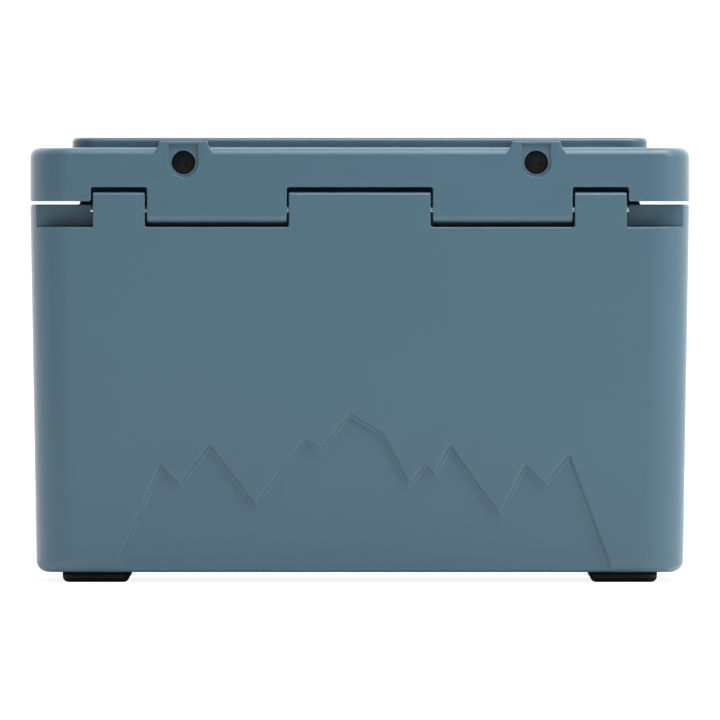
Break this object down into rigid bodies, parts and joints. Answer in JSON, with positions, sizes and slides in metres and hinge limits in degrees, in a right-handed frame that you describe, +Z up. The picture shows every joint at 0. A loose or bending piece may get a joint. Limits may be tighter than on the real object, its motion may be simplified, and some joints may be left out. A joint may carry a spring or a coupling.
{
  "type": "hard-sided insulated cooler",
  "caption": "Hard-sided insulated cooler with a rod-hinged lid, rubber latches, swing-up carry handles, a screw-out drain plug and rubber feet.",
  "frame": {"origin": "on the floor, midway between the four feet", "axes": "+Z up; +X towards the drain end, which is on the right of a person facing the latches; +Y towards the hinge side, so the latches face -Y"},
  "size_m": [0.66, 0.44, 0.445],
  "materials": {
    "shell_plastic": "satin",
    "foam": "matte",
    "rubber": "matte",
    "black_plastic": "satin",
    "steel": "satin",
    "aluminium": "satin"
  },
  "bodies": {
    "tub": {"body_shell": "shell_plastic", "body_foam_floor": "foam", "body_foam_front": "foam", "body_foam_rear": "foam", "body_foam_left": "foam", "body_foam_right": "foam", "body_fill_plug_left": "black_plastic", "body_fill_plug_right": "black_plastic", "foot_front_left": "rubber", "foot_front_right": "rubber", "foot_rear_left": "rubber", "foot_rear_right": "rubber", "foot_screw_front_left": "steel", "foot_screw_front_right": "steel", "foot_screw_rear_left": "steel", "foot_screw_rear_right": "steel", "handle_bush_front_left": "black_plastic", "handle_bush_front_right": "black_plastic", "handle_bush_rear_left": "black_plastic", "handle_bush_rear_right": "black_plastic", "latch_keeper_left": "steel", "latch_keeper_right": "steel", "keeper_screw_inner_left": "steel", "keeper_screw_inner_right": "steel", "keeper_screw_outer_left": "steel", "keeper_screw_outer_right": "steel", "drain_socket": "black_plastic", "drain_socket_gasket": "rubber", "drain_nut": "black_plastic", "hinge_rod": "steel"},
    "lid": {"lid_shell": "shell_plastic", "lid_foam": "foam", "lid_gasket": "rubber", "lid_fill_plug_left": "black_plastic", "lid_fill_plug_right": "black_plastic", "latch_pin_left": "steel", "latch_pin_right": "steel"},
    "latch_left": {"latch_strap_left": "rubber"},
    "latch_right": {"latch_strap_right": "rubber"},
    "handle_left": {"handle_bail_left": "aluminium", "handle_grip_left": "rubber"},
    "handle_right": {"handle_bail_right": "aluminium", "handle_grip_right": "rubber"},
    "drain_slider": {"drain_plug_seal": "rubber"},
    "drain_knob": {"drain_plug": "black_plastic"}
  },
  "joints": [
    {"name": "lid_hinge", "type": "hinge", "parent": "tub", "child": "lid", "pos_m": [0, 0.206, 0.3724], "axis": [-1, 0, 0], "range_deg": [0, 95]},
    {"name": "latch_left_hinge", "type": "hinge", "parent": "lid", "child": "latch_left", "pos_m": [-0.175, -0.2125, 0.415], "axis": [-1, 0, 0], "range_deg": [-4.5, 120]},
    {"name": "latch_right_hinge", "type": "hinge", "parent": "lid", "child": "latch_right", "pos_m": [0.175, -0.2125, 0.415], "axis": [-1, 0, 0], "range_deg": [-4.5, 120]},
    {"name": "handle_left_hinge", "type": "hinge", "parent": "tub", "child": "handle_left", "pos_m": [-0.314, 0, 0.336], "axis": [0, 1, 0], "range_deg": [0, 90]},
    {"name": "handle_right_hinge", "type": "hinge", "parent": "tub", "child": "handle_right", "pos_m": [0.314, 0, 0.336], "axis": [0, -1, 0], "range_deg": [0, 90]},
    {"name": "drain_slide", "type": "slide", "parent": "tub", "child": "drain_slider", "axis": [1, 0, 0], "range_m": [0, 0.012]},
    {"name": "drain_turn", "type": "hinge", "parent": "drain_slider", "child": "drain_knob", "pos_m": [0.315, 0, 0.067], "axis": [1, 0, 0], "range_deg": [0, 1080]}
  ],
  "couplings": [
    {"joint": "drain_slide", "follows": "drain_turn", "m_per_rad": 0.0006366}
  ]
}
